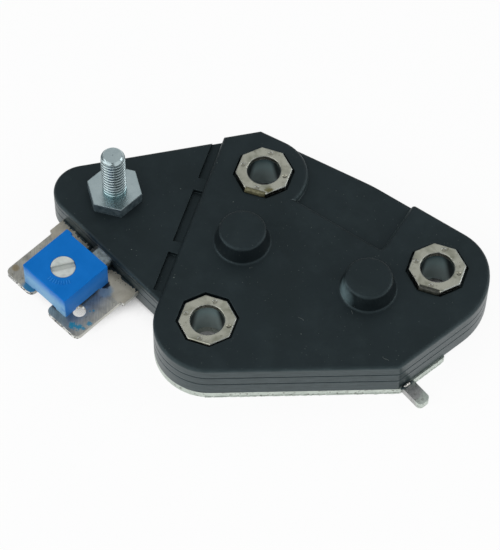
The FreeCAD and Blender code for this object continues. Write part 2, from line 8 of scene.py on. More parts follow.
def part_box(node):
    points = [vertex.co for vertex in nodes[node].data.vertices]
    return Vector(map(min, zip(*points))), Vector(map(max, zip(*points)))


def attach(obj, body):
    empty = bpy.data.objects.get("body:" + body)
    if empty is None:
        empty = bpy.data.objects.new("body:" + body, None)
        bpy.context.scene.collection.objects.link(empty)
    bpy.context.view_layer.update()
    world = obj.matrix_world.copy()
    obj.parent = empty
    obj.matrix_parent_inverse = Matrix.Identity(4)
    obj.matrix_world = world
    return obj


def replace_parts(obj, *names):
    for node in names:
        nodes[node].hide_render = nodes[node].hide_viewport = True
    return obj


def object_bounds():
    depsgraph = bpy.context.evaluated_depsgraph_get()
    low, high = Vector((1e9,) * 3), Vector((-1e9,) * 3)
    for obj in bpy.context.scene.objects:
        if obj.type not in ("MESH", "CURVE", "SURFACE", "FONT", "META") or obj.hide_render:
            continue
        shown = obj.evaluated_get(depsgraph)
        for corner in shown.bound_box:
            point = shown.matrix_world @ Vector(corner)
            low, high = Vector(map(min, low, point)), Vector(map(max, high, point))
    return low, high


# %% [markdown]
# An alternator voltage regulator, dressed for its picture
#
# The regulator is a flat black moulding on an aluminium plate. It sets the voltage of a vehicle's
# alternator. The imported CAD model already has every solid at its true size, so this file adds what a
# CAD model leaves out: finishes, threads, tick marks, flash, burrs, dirt, a camera and light.

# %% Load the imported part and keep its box
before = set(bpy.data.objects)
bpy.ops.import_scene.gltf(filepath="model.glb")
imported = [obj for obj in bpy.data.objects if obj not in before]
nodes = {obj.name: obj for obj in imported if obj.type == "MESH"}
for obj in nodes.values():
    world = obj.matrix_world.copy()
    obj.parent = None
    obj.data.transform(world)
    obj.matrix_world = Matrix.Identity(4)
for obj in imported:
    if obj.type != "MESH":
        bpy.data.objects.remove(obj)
cad_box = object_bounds()
MM = 0.001
print("nodes:", len(nodes), "box in mm:", [round((b - a) / MM, 1) for a, b in zip(*cad_box)])

# %% [markdown]
# Colours
#
# Colours are easiest to compare with the real thing as sRGB hex values. Blender's shaders work with
# linear light, so one function turns the first into the second.

# %% A colour from its hex value


def colour(hex_value):
    """Linear RGBA from an sRGB value such as 1565B8."""
    channels = [int(hex_value[i:i + 2], 16) / 255 for i in (0, 2, 4)]
    linear = [c / 12.92 if c <= 0.04045 else ((c + 0.055) / 1.055) ** 2.4 for c in channels]
    return (*linear, 1.0)


print("trimmer blue in linear light:", [round(c, 3) for c in colour("1565B8")])

# %% [markdown]
# Places on the part
#
# Wear, painted highlights and added pieces sit at real places: round the bores, beside the trimmer,
# along an edge. These few sizes are the CAD model's own. The trimmer stands turned, so it has its own two
# directions, one outwards from the case and one along its wall.

# %% Places and directions


def polar(degrees, length=1.0):
    angle = math.radians(degrees)
    return Vector((length * math.cos(angle), length * math.sin(angle), 0.0))


bore_axes = [Vector((0.0, 0.0, 0.0)) * MM, Vector((9.6, 27.1, 0.0)) * MM, Vector((36.1, 8.2, 0.0)) * MM]
bore_r = 2.7 * MM
z_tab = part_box("trimmer_tab_left")[1].z
z_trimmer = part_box("trimmer_housing")[1].z
z_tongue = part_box("middle_frame")[1].z
z_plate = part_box("heat_sink_plate")[1].z
z_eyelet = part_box("battery_eyelet")[1].z
earth_sunk = 0.15 * MM
z_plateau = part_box("earth_eyelet")[1].z + earth_sunk

trimmer_at = Vector((-21.9, 10.1, 0.0)) * MM
trimmer_turn = 223.6
trimmer_out = polar(trimmer_turn)
trimmer_up = polar(trimmer_turn - 90)
rotor_shift = 0.55 * MM
rotor_at = trimmer_at + trimmer_out * rotor_shift

stud_low, stud_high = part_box("output_stud")
stud_axis = Vector(((stud_low.x + stud_high.x) / 2, (stud_low.y + stud_high.y) / 2, 0.0))
wall_normal = polar(220.6)
wing_reach = 7.9 * MM
wall_reach = wall_normal.dot(stud_axis) + wing_reach

# Where two painted highlights sit: on the near boss's left side and at the lower end of the lobe.
boss_glint = Vector((21.5, 3.9, 9.3)) * MM
lobe_end = Vector((14.6, 21.9, 8.2)) * MM
torn_corner = bore_axes[1] + polar(281.0, 4.0 * MM) + Vector((0, 0, z_eyelet))
eyelet_turn = 69.5
eyelet_face_r = 3.95 * MM
dimple_reach = 3.5 * MM
dimple_turns = [eyelet_turn + 90 * i for i in range(4)]
dimples = [axis + polar(turn, dimple_reach) for axis in bore_axes for turn in dimple_turns]
right_side_dimples = dimples[3::4]
groove_across = polar(160.5)
groove_near, groove_far = 8.0 * MM, 10.3 * MM
pocket_r = 6.6 * MM

plate_corner = Vector((29.79, -9.2, 0.0)) * MM
slant_turn = 38.0
slant_way = polar(slant_turn)
slant_out = polar(slant_turn - 90)


def at_trimmer(out_mm, up_mm, z=0.0):
    return trimmer_at + (trimmer_out * out_mm + trimmer_up * up_mm) * MM + Vector((0, 0, z))


def wall_out_mm(up_mm):
    """Where the case wall stands, outwards from the trimmer's centre, in millimetres."""
    gap = wall_reach - wall_normal.dot(at_trimmer(0, up_mm))
    return gap / wall_normal.dot(trimmer_out) / MM


print("the wall is", round(-wall_out_mm(0), 2), "mm from the trimmer's centre")

# %% [markdown]
# A short way to write node trees
#
# Every finish below is a small node tree. Its texture coordinates are the object's own, in metres, so
# a pattern's scale follows from a real size: a feature of 0.2 mm needs a scale of 1000 / 0.2. Each
# helper returns a (node, output) pair, which the next one takes as its input.

# %% Helpers for materials


def add(tree, kind, inputs=None, **settings):
    """Adds one node. Inputs are numbers, colours or (node, output) pairs to link."""
    node = tree.nodes.new("ShaderNode" + kind)
    for name, value in settings.items():
        setattr(node, name, value)
    for name, value in (inputs or {}).items():
        if isinstance(value, tuple) and len(value) == 2 and isinstance(value[0], bpy.types.Node):
            tree.links.new(value[0].outputs[value[1]], node.inputs[name])
        else:
            node.inputs[name].default_value = value
    return node


def new_finish(name):
    """An empty material with a shader and the object's own coordinates."""
    material = bpy.data.materials.new(name)
    material.use_nodes = True
    tree = material.node_tree
    tree.nodes.clear()
    shader = add(tree, "BsdfPrincipled")
    add(tree, "OutputMaterial", {"Surface": (shader, "BSDF")})
    return material, tree, shader, (add(tree, "TexCoord"), "Object")


def link(tree, value, shader, socket):
    tree.links.new(value[0].outputs[value[1]], shader.inputs[socket])


def grey(level):
    return (level, level, level, 1.0)


def per_mm(size):
    """The texture scale at which one feature is about this many millimetres."""
    return 1 / (size * MM)


def cloud(tree, here, size, detail=4, distortion=0.0):
    """Soft noise whose features measure about this many millimetres."""
    return add(tree, "TexNoise", {"Vector": here, "Scale": per_mm(size), "Detail": detail, "Roughness": 0.6,
                                  "Distortion": distortion}), "Fac"


def maths(tree, operation, first, second=0.0):
    return add(tree, "Math", {0: first, 1: second}, operation=operation), 0


def steps(tree, value, *stops):
    """A colour ramp from (position, colour) stops."""
    ramp = add(tree, "ValToRGB", {"Fac": value})
    elements = ramp.color_ramp.elements
    while len(elements) < len(stops):
        elements.new(0.5)
    for element, (position, tone) in zip(elements, stops):
        element.position = position
        element.color = tone
    return ramp, "Color"


def span(tree, value, low, high, at_low, at_high):
    """A number that runs from one value to another while its input crosses a range."""
    return add(tree, "MapRange", {"Value": value, "From Min": low, "From Max": high,
                                  "To Min": at_low, "To Max": at_high}), "Result"


def blend(tree, factor, below, above):
    """One colour laid over another."""
    return add(tree, "Mix", {"Factor": factor, "A": below, "B": above}, data_type="RGBA"), "Result"


def specks(tree, here, cell, radius, share):
    """Round specks: a share of the cells of a pattern holds one each, of random strength."""
    cells = add(tree, "TexVoronoi", {"Vector": here, "Scale": per_mm(cell)}, feature="F1")
    inside = maths(tree, "LESS_THAN", (cells, "Distance"), radius / cell)
    lot = add(tree, "SeparateColor", {"Color": (cells, "Color")})
    chosen = maths(tree, "LESS_THAN", (lot, "Red"), share)
    return maths(tree, "MULTIPLY", maths(tree, "MULTIPLY", inside, chosen), (lot, "Green"))


def patch(tree, here, centre, radius, ragged=0.5, inner=0.75):
    """A round patch with a ragged edge: 1 within the inner share of the radius, 0 outside it."""
    away = add(tree, "VectorMath", {0: here, 1: centre}, operation="DISTANCE"), "Value"
    part = maths(tree, "DIVIDE", away, radius)
    wobble = maths(tree, "MULTIPLY", cloud(tree, here, 0.5 * radius / MM), 2 * ragged)
    return span(tree, maths(tree, "ADD", part, wobble), inner + ragged, 1.0 + ragged, 1.0, 0.0)


def either(tree, *masks):
    """The strongest of several masks."""
    total = masks[0]
    for mask in masks[1:]:
        total = maths(tree, "MAXIMUM", total, mask)
    return total


def nearest(tree, here, places):
    """The distance in plan to the nearest of several places."""
    flat = add(tree, "VectorMath", {0: here, 1: (1, 1, 0)}, operation="MULTIPLY"), "Vector"
    least = None
    for place in places:
        away = add(tree, "VectorMath", {0: flat, 1: place}, operation="DISTANCE"), "Value"
        least = maths(tree, "MINIMUM", least, away) if least else away
    return least


def along(tree, here, direction):
    """How far a point lies in one direction."""
    return add(tree, "VectorMath", {0: here, 1: direction}, operation="DOT_PRODUCT"), "Value"


def streaks(tree, here, size, stretch, turn=0.0):
    """Noise drawn out into streaks; the stretch is a factor for each axis."""
    drawn = add(tree, "Mapping", {"Vector": here, "Scale": stretch, "Rotation": (0, 0, turn)})
    return cloud(tree, (drawn, "Vector"), size)


def rounded(tree, radius):
    """The normal of a surface whose edges are rounded by a small radius in mm."""
    return add(tree, "Bevel", {"Radius": radius * MM}, samples=4), "Normal"


def corner_mask(tree, soft, full, none):
    """1 on sharp corners, 0 on flat ground, from a rounded normal and the true one."""
    same = along(tree, (add(tree, "NewGeometry"), "Normal"), soft)
    return steps(tree, same, (full, grey(1.0)), (none, grey(0.0)))


def facing(tree, direction):
    """How squarely a face looks in one direction, from -1 to 1."""
    return along(tree, (add(tree, "NewGeometry"), "Normal"), direction)


def relief(tree, shader, *layers, over=None):
    """Bump from (height, strength, depth in mm) layers, over a rounded normal where there is one."""
    below = over
    for height, strength, depth in layers:
        inputs = {"Height": height, "Strength": strength, "Distance": depth * MM}
        if below:
            inputs["Normal"] = below
        below = add(tree, "Bump", inputs), "Normal"
    link(tree, below, shader, "Normal")


def wear(material, node_names):
    """Gives a finish to CAD nodes."""
    for name in node_names:
        slots = nodes[name].data.materials
        slots.clear()
        slots.append(material)
    print(material.name, "on", len(node_names), "nodes")


# %% [markdown]
# Black thermoset
#
# The three case layers are pressed from a glass-filled thermoset, nearly black with a green cast. The
# mould's side walls are polished so that the part draws out, and its top is matt, so roughness follows
# which way a face looks. The outer walls are lighter under a streaky film, partly real streaks and partly
# a painted sheen. Dust clings to it as pale specks. Corners are lighter, partly from rubbing and partly a
# painted edge highlight, which the Bevel node finds by comparing a rounded normal with the true one. A
# painted highlight also lies on the near boss's left side and at the lower end of the lobe. The bores'
# walls that face the front are lighter with depth: painted light. Where the gate was broken off, beside
# the trimmer, the filler shows as a grey scar.

# %% The case finish


def painted_bore_tone(tree, here, height):
    """Painted light: the bores' walls that face the front are lighter, more and wider with depth."""
    depth = span(tree, height, z_plateau, z_plate, 0.0, 1.0)
    sideways = maths(tree, "ABSOLUTE", facing(tree, (1, 0, 0)))
    margin = maths(tree, "SUBTRACT", span(tree, depth, 0.0, 1.0, 0.45, 0.95), sideways)
    painted_light = maths(tree, "MULTIPLY", span(tree, margin, -0.18, 0.12, 0.0, 1.0),
                   span(tree, facing(tree, (0, -1, 0)), -0.1, 0.2, 0.0, 1.0))
    bore_lightening = steps(tree, depth, (0.05, colour("36494C")), (0.35, colour("A2BABB")), (0.8, colour("E6F7F5")))
    return blend(tree, painted_light, colour("101516"), bore_lightening)


def in_bores(tree, here, radius):
    """1 within a radius of any bore's axis."""
    return maths(tree, "LESS_THAN", nearest(tree, here, bore_axes), radius)


def outer_walls(tree, here, height, level):
    """1 on the case's outer walls, 0 on its top, in its grooves and in its pockets."""
    side = maths(tree, "MULTIPLY", span(tree, level, 0.3, 0.9, 1.0, 0.0),
                 maths(tree, "LESS_THAN", height, z_plateau))
    across = along(tree, here, groove_across)
    in_groove = maths(tree, "MULTIPLY", maths(tree, "GREATER_THAN", across, groove_near),
                      maths(tree, "LESS_THAN", across, groove_far))
    in_groove = maths(tree, "MULTIPLY", in_groove, maths(tree, "GREATER_THAN", height, 6.2 * MM))
    hidden = either(tree, in_groove, in_bores(tree, here, pocket_r))
    return maths(tree, "MULTIPLY", side, maths(tree, "SUBTRACT", 1.0, hidden))


def pressed_thermoset(name, scar=None):
    material, tree, shader, here = new_finish(name)
    broad = cloud(tree, here, 9)
    grain = cloud(tree, here, 0.35, detail=3)
    tone = steps(tree, broad, (0.35, colour("0C1113")), (0.65, colour("13191C")))
    clouds = steps(tree, cloud(tree, here, 5, detail=6), (0.48, grey(0.0)), (0.70, grey(0.7)))
    tone = blend(tree, clouds, tone, colour("1C2325"))

    level = maths(tree, "ABSOLUTE", facing(tree, (0, 0, 1)))
    height = add(tree, "SeparateXYZ", {"Vector": here}), "Z"
    # The outer walls take a lighter streaky film, partly real streaks and partly a painted sheen; grooves and
    # pockets are left out.
    side = outer_walls(tree, here, height, level)
    drawn = streaks(tree, here, 2.2, (1, 1, 4))
    film = steps(tree, drawn, (0.35, colour("212B2C")), (0.68, colour("364042")))
    tone = blend(tree, side, tone, film)
    # Painted highlight: a lighter patch on the near boss's left side.
    glint = maths(tree, "MULTIPLY", patch(tree, here, boss_glint, 2.5 * MM, 0.3, inner=0.1),
                  span(tree, level, 0.5, 0.8, 1.0, 0.0))
    tone = blend(tree, glint, tone, colour("6A7E82"))

    fine = maths(tree, "MULTIPLY", specks(tree, here, 0.55, 0.045, 0.5), 0.55)
    coarse = maths(tree, "MULTIPLY", specks(tree, here, 2.0, 0.09, 0.5), 0.6)
    tone = blend(tree, either(tree, fine, coarse), tone, colour("8A918A"))

    # Corners are lighter: partly rubbing, partly a painted edge highlight.
    soft = rounded(tree, 0.2)
    edge = corner_mask(tree, soft, 0.88, 0.99)
    broken = steps(tree, cloud(tree, here, 1.2), (0.42, grey(0.15)), (0.6, grey(0.9)))
    tone = blend(tree, maths(tree, "MULTIPLY", edge, broken), tone, colour("353E41"))
    # A stronger painted highlight on the edges at the lower end of the lobe.
    painted_light = maths(tree, "MULTIPLY", edge, patch(tree, here, lobe_end, 2.8 * MM, inner=0.3))
    tone = blend(tree, painted_light, tone, colour("7C8688"))

    # Painted light on the bores' walls that face the front.
    tone = blend(tree, in_bores(tree, here, bore_r * 1.01), tone, painted_bore_tone(tree, here, height))
    if scar:
        centre, radius = scar
        torn = steps(tree, cloud(tree, here, 0.6), (0.35, colour("87918F")), (0.65, colour("C9D2CF")))
        tone = blend(tree, patch(tree, here, centre, radius, ragged=0.2), tone, torn)
    link(tree, tone, shader, "Base Color")
    matt = span(tree, level, 0.3, 0.9, 0.30, 0.52)
    link(tree, maths(tree, "ADD", matt, maths(tree, "MULTIPLY", grain, 0.1)), shader, "Roughness")
    relief(tree, shader, (grain, 0.22, 0.03), (broad, 0.25, 0.2), over=soft)
    shader.inputs["IOR"].default_value = 1.6
    shader.inputs["Specular Tint"].default_value = (0.48, 0.65, 0.70, 1.0)
    return material


thermoset = pressed_thermoset("black glass-filled thermoset, pressed")
wear(thermoset, ["upper_cover", "lower_case"])
gate = (at_trimmer(-5.9, -1.2, z_tongue), 2.2 * MM)
wear(pressed_thermoset("black glass-filled thermoset with a gate scar", gate), ["middle_frame"])

# %% [markdown]
# Aluminium sheet
#
# The base plate is sheared from aluminium sheet. It is bright and torn where it was cut, slightly
# pitted, and has a dull oxide film on its faces.

# %% The plate finish


def sheared_aluminium():
    material, tree, shader, here = new_finish("aluminium sheet, sheared")
    film = cloud(tree, here, 3)
    pits = cloud(tree, here, 0.45)
    tone = steps(tree, film, (0.3, colour("B6BFB7")), (0.7, colour("D6DED6")))
    # Painted shade: the finger's top is a darker grey.
    finger = plate_corner + (slant_out * 1.6 + slant_way * 1.0) * MM
    tone = blend(tree, patch(tree, here, finger, 2.2 * MM, ragged=0.2), tone, colour("B2B2B1"))
    dark = steps(tree, pits, (0.32, grey(1.0)), (0.44, grey(0.0)))
    link(tree, blend(tree, dark, tone, colour("74746C")), shader, "Base Color")
    link(tree, span(tree, film, 0.3, 0.7, 0.38, 0.54), shader, "Roughness")
    relief(tree, shader, (pits, 0.6, 0.07), (cloud(tree, here, 1.2), 0.3, 0.1), over=rounded(tree, 0.08))
    shader.inputs["Metallic"].default_value = 1.0
    return material


aluminium = sheared_aluminium()
wear(aluminium, ["heat_sink_plate"])

# %% [markdown]
# Nickel plate
#
# The eyelets and the trimmer's tabs are stamped and nickel plated. Nickel is a warm grey metal. Thin
# plating shows faint stains, and stamping leaves fine lines in the direction of rolling. Where the
# mould clamped the tabs their plating is dull and warm. They also carry spots of resin from pressing,
# which thin out away from the case wall, smeared blue, and one hazy blue patch that is a painted
# reflection of the trimmer's side: each has a place in the trimmer's own directions, a radius, a
# strength and a colour. The tabs' outer ends were torn off a strip. Each eyelet has four punched
# dimples, and the plating is darker round them. Three are in the solid and the fourth, on the right, is
# a bump. The plating's corners carry a painted highlight, brightest on the eyelets' right edges.

# %% The nickel finish


def plated_tone(tree, here, soft, light, dark):
    """Stained plating with a few darker spots and a painted highlight on its corners; returns its colour and
    the stain.
    """
    stain = cloud(tree, here, 2.2, distortion=0.4)
    tone = steps(tree, stain, (0.32, colour(dark)), (0.55, colour(light)))
    spots = steps(tree, cloud(tree, here, 0.8, detail=2), (0.64, grey(0.0)), (0.70, grey(0.45)))
    tone = blend(tree, spots, tone, colour("5F5A4E"))
    # The lighter corners are a painted highlight.
    return blend(tree, corner_mask(tree, soft, 0.85, 0.97), tone, colour("D9DDDC")), stain


def rolled(tree, shader, here, soft, *layers):
    """Fine lines in the direction of rolling, and any other layers of relief."""
    lines = streaks(tree, here, 1.6, (1, 12, 1), turn=0.38)
    relief(tree, shader, (lines, 0.06, 0.02), *layers, over=soft)


def nickel_plate(name, light, dark):
    material, tree, shader, here = new_finish(name)
    soft = rounded(tree, 0.2)
    tone, stain = plated_tone(tree, here, soft, light, dark)
    resin = patch(tree, here, torn_corner, 0.9 * MM, ragged=0.9, inner=0.4)
    tone = blend(tree, resin, tone, colour("6F6B4C"))
    # The plating is darker round the dimples.
    dark_round_dimples = span(tree, nearest(tree, here, dimples), 0.2 * MM, 0.6 * MM, 0.5, 0.0)
    tone = blend(tree, dark_round_dimples, tone, colour("6E6A5A"))
    # Painted highlight: outer corners that face right turn near white and less metallic.
    right = span(tree, along(tree, soft, Vector((0.97, -0.24, 0.0))), 0.1, 0.35, 0.0, 1.0)
    outer = maths(tree, "SUBTRACT", right, in_bores(tree, here, eyelet_face_r))
    corners = maths(tree, "MULTIPLY", corner_mask(tree, soft, 0.86, 0.98), outer)
    painted_light = span(tree, corners, 0.0, 1.0, 0.0, 1.0)
    link(tree, blend(tree, painted_light, tone, colour("EAF4F8")), shader, "Base Color")
    link(tree, span(tree, painted_light, 0.0, 1.0, 1.0, 0.25), shader, "Metallic")
    link(tree, span(tree, stain, 0.3, 0.7, 0.34, 0.24), shader, "Roughness")
    punched = span(tree, nearest(tree, here, right_side_dimples), 0.22 * MM, 0.36 * MM, 0.0, 1.0)
    rolled(tree, shader, here, soft, (punched, 1.0, 0.12))
    return material


def soiled_nickel(name, light, dark):
    """Nickel plate with a dull clamped band, smeared blue, a painted reflection of the trimmer's side and
    spattered resin.
    """
    material, tree, shader, here = new_finish(name)
    soft = rounded(tree, 0.1)
    tone, stain = plated_tone(tree, here, soft, light, dark)
    out = along(tree, here, wall_normal)
    brushed = steps(tree, streaks(tree, here, 2.4, (14, 1, 1)), (0.40, grey(0.30)), (0.58, grey(0.0)))
    tone = blend(tree, brushed, tone, colour("6C737A"))
    clamped = span(tree, out, wall_reach + clamp_w, wall_reach + clamp_w + 0.2 * MM, 1.0, 0.0)
    tone = blend(tree, clamped, tone, steps(tree, stain, (0.3, colour("A39D8E")), (0.6, colour("BAB5A7"))))
    masks = []
    for out_mm, up_mm, radius_mm, strength, laid_colour in smears_and_reflection:
        ragged = 1.2 if laid_colour == teal else 0.3
        mask = patch(tree, here, at_trimmer(out_mm, up_mm, z_tab), radius_mm * MM, ragged, inner=0.6)
        mask = maths(tree, "MULTIPLY", mask, strength)
        tone = blend(tree, mask, tone, colour(laid_colour))
        masks.append(mask)
    painted = either(tree, *masks)
    resin = patch(tree, here, at_trimmer(-3.8, -4.7, z_tab), 0.85 * MM)
    tone = blend(tree, resin, tone, colour("101B2A"))
    upright = maths(tree, "ABSOLUTE", facing(tree, (0, 0, 1)))
    torn = steps(tree, cloud(tree, here, 0.4, detail=2), (0.42, colour("2B2C28")), (0.56, colour("E0E1DC")))
    cut = blend(tree, span(tree, facing(tree, trimmer_out), 0.3, 0.6, 0.0, 1.0), colour("B9B9B1"), torn)
    tone = blend(tree, span(tree, upright, 0.4, 0.6, 1.0, 0.0), tone, cut)
    near = span(tree, out, wall_reach + 0.3 * MM, wall_reach + 1.6 * MM, 1.0, 0.0)
    drops = maths(tree, "MULTIPLY", specks(tree, here, 0.4, 0.08, 0.6), near)
    tone = blend(tree, span(tree, drops, 0.05, 0.3, 0.0, 1.0), tone, colour("15191A"))
    link(tree, tone, shader, "Base Color")
    bare = maths(tree, "SUBTRACT", 1.0, either(tree, painted, resin, maths(tree, "MULTIPLY", clamped, 0.55)))
    link(tree, bare, shader, "Metallic")
    link(tree, span(tree, stain, 0.3, 0.7, 0.44, 0.34), shader, "Roughness")
    rolled(tree, shader, here, soft)
    return material


clamp_w = 3.6 * MM
# Each entry is (out, up, radius in mm, strength, colour); the first, in hazy blue, is a painted reflection of
# the trimmer's side.
teal, blue, painted_reflection, rust = "167A9C", "1B79A6", "5C8FB4", "86703C"
smears_and_reflection = [(-3.0, -5.5, 1.5, 0.6, painted_reflection), (2.45, -5.4, 1.3, 0.25, blue), (1.0, -5.8, 0.5, 0.3, blue),
          (4.9, 3.2, 1.7, 0.95, blue), (4.98, -6.5, 0.75, 1.0, teal), (4.5, -7.4, 0.7, 1.0, teal),
          (4.2, -8.1, 0.35, 0.9, teal), (2.9, -8.1, 0.5, 0.9, teal), (0.8, -6.9, 0.25, 0.9, teal),
          (1.3, -6.6, 0.2, 0.8, teal), (4.1, 7.5, 0.75, 0.6, rust)]
eyelet_plate = nickel_plate("steel, nickel plated", "B2B2A5", "8E8F80")
wear(eyelet_plate, ["battery_eyelet", "field_eyelet", "earth_eyelet"])
tabs = ["trimmer_tab_left", "trimmer_tab_right", "battery_bus", "field_bus"]
wear(soiled_nickel("brass sheet, nickel plated and soiled", "B9B7AD", "9B9991"), tabs)

# %% [markdown]
# Trimmer plastics
#
# The trimmer's housing is blue thermoplastic polyester, moulded with a fine matt skin, and pale low on
# its outer side, partly from scuffs and partly a painted sheen. Its rotor is white nylon, greyer in a band
# along the slot.

# %% The blue housing


def moulded_polyester(name, dark, light):
    material, tree, shader, here = new_finish(name)
    skin = cloud(tree, here, 0.25, detail=3)
    tone = steps(tree, cloud(tree, here, 4), (0.3, colour(dark)), (0.7, colour(light)))
    height = add(tree, "SeparateXYZ", {"Vector": here}), "Z"
    low = span(tree, height, z_tab + 2.4 * MM, z_trimmer - 0.3 * MM, 1.0, 0.0)
    # Pale low on the outer side: partly scuffs, partly a painted sheen.
    scuffs_and_sheen = steps(tree, cloud(tree, here, 1.6), (0.30, grey(0.3)), (0.48, grey(0.85)))
    scuffs_and_sheen = maths(tree, "MULTIPLY", scuffs_and_sheen, span(tree, facing(tree, trimmer_out), 0.3, 0.9, 0.12, 1.0))
    tone = blend(tree, maths(tree, "MULTIPLY", low, scuffs_and_sheen), tone, colour("8CB8D6"))
    link(tree, tone, shader, "Base Color")
    link(tree, span(tree, skin, 0.3, 0.7, 0.40, 0.52), shader, "Roughness")
    relief(tree, shader, (skin, 0.15, 0.02), over=rounded(tree, 0.04))
    shader.inputs["Specular IOR Level"].default_value = 0.12
    shader.inputs["Specular Tint"].default_value = colour("86B4DC")
    return material


polyester = moulded_polyester("blue polyester, moulded", "106EC3", "1876CD")
wear(polyester, ["trimmer_housing"])

# %% The white rotor


def nylon_banded_along_slot():
    material, tree, shader, here = new_finish("white nylon, moulded and handled")
    smear = cloud(tree, here, 1.3, distortion=0.8)
    tone = steps(tree, smear, (0.35, colour("BCC2BE")), (0.6, colour("D2D7D3")))
    from_axis = add(tree, "VectorMath", {0: here, 1: rotor_at}, operation="SUBTRACT"), "Vector"
    across = along(tree, from_axis, polar(104.0))
    # Greyer in a band along the slot.
    band = span(tree, maths(tree, "ABSOLUTE", across), 0.35 * MM, 0.8 * MM, 0.7, 0.0)
    tone = blend(tree, maths(tree, "MULTIPLY", band, smear), tone, colour("8F948E"))
    link(tree, tone, shader, "Base Color")
    relief(tree, shader, (smear, 0.2, 0.05), over=rounded(tree, 0.12))
    shader.inputs["Roughness"].default_value = 0.5
    shader.inputs["IOR"].default_value = 1.53
    return material


wear(nylon_banded_along_slot(), ["trimmer_rotor"])

# %% [markdown]
# The pieces inside
#
# Most of these are out of sight, but they are seen through holes and from below. One function covers
# them, because each differs only in colours, roughness and whether it is metal.

# %% Finishes inside and under the case


def plain_finish(name, light, dark, size_mm, roughness, metal=0.0):
    material, tree, shader, here = new_finish(name)
    patches = cloud(tree, here, size_mm)
    link(tree, steps(tree, patches, (0.35, colour(dark)), (0.65, colour(light))), shader, "Base Color")
    relief(tree, shader, (patches, 0.2, 0.03))
    shader.inputs["Roughness"].default_value = roughness
    shader.inputs["Metallic"].default_value = metal
    return material


pins = ["trimmer_pin_1", "trimmer_pin_2", "trimmer_pin_3", "pin_solder_1", "pin_solder_2", "pin_solder_3"]
resistors = ["sense_resistor_1", "sense_resistor_2", "sense_resistor_3"]
wear(plain_finish("soft solder, reflowed", "CFCFCB", "9C9C98", 0.6, 0.3, 1.0), pins)
wear(plain_finish("alumina, fired", "E4DFD2", "CFC9BA", 1.0, 0.55), ["hybrid_substrate", "trimmer_element"])
wear(plain_finish("epoxy, cast", "2B2D33", "1B1D22", 0.8, 0.4), ["trimmer_base_seal"])
wear(plain_finish("black epoxy, transfer moulded", "26282A", "181A1C", 0.4, 0.6),
     ["power_transistor", "driver_chip", "zener_diode"])
wear(plain_finish("thick film resistor, glazed", "23242E", "15161C", 0.5, 0.25), resistors)
wear(plain_finish("aluminium can, drawn", "C6C6C2", "A9A9A4", 1.5, 0.35, 1.0), ["filter_capacitor"])
wear(plain_finish("copper button, nickelled", "C08A66", "8C6248", 1.2, 0.4, 1.0), ["freewheel_diode"])
wear(plain_finish("nitrile rubber, moulded", "242424", "161616", 0.5, 0.7), ["trimmer_o_ring"])
wear(plain_finish("spring alloy, stamped", "C9AC62", "9A7F40", 0.5, 0.3, 1.0), ["trimmer_wiper"])

# %% [markdown]
# The stud
#
# The real stud is turned from hexagonal bar, rolled with an M4 thread and zinc plated. The CAD solid
# has a plain cylinder, so a new mesh with the real helix replaces it. A thread is a radius that
# depends on height and on angle: one turn of the angle moves the pattern up by one pitch. The end is
# chamfered and rounded, which cuts the last turns down to a flat face.

# %% Sizes of the stud, from its CAD box
thread_r = 1.95 * MM
thread_root_r = 1.50 * MM
pitch = 0.7 * MM
thread_h = 9.0 * MM
crest_flat, root_sharp = 1.25, 1.1
end_r = 1.42 * MM
crown = 0.85 * MM
mark_r = 0.12 * MM
collar_h = 2.1 * MM
hex_flats = 7.9 * MM
hex_turn = 43.2
z_end = stud_high.z
z_collar = z_end - thread_h
z_seat = z_collar - collar_h
print("stud axis in mm:", [round(c / MM, 2) for c in stud_axis], "turns:", round(thread_h / pitch, 1))

# %% The thread's radius


def thread_radius(z, angle):
    """Radius of the thread's surface at a height above the collar."""
    phase = (z / pitch - angle / (2 * math.pi)) % 1.0
    wave = 0.5 - 0.5 * math.cos(2 * math.pi * phase)
    r = thread_root_r + (thread_r - thread_root_r) * min(1.0, crest_flat * wave ** root_sharp)
    left = max(0.0, thread_h - z)
    if left < crown:
        r = min(r, end_r + (thread_r - end_r) * math.sin(math.pi / 2 * left / crown))
    return r


# %% Mesh helpers


def ring(mesh, centre, radius_at, z, count):
    points = []
    for i in range(count):
        angle = 2 * math.pi * i / count
        r = radius_at(angle)
        points.append(mesh.verts.new((centre.x + r * math.cos(angle), centre.y + r * math.sin(angle), z)))
    return points


def bridge(mesh, lower, upper):
    for i in range(len(lower)):
        j = (i + 1) % len(lower)
        mesh.faces.new((lower[i], lower[j], upper[j], upper[i]))


def sweep(mesh, sections):
    """A closed skin over a row of equal closed sections, each a list of points."""
    rows = [[mesh.verts.new(p) for p in section] for section in sections]
    for lower, upper in zip(rows, rows[1:]):
        bridge(mesh, lower, upper)
    mesh.faces.new(rows[0])
    mesh.faces.new(rows[-1])


def keep(mesh, name, finish, smooth=True):
    """Turns a finished bmesh into a piece that rides on the regulator."""
    bmesh.ops.recalc_face_normals(mesh, faces=list(mesh.faces))
    for face in mesh.faces:
        face.smooth = smooth
    data = bpy.data.meshes.new(name)
    mesh.to_mesh(data)
    mesh.free()
    piece = bpy.data.objects.new(name, data)
    bpy.context.scene.collection.objects.link(piece)
    data.materials.append(finish)
    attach(piece, "regulator")
    print(name, len(data.polygons), "faces")
    return piece


# %% Build the stud


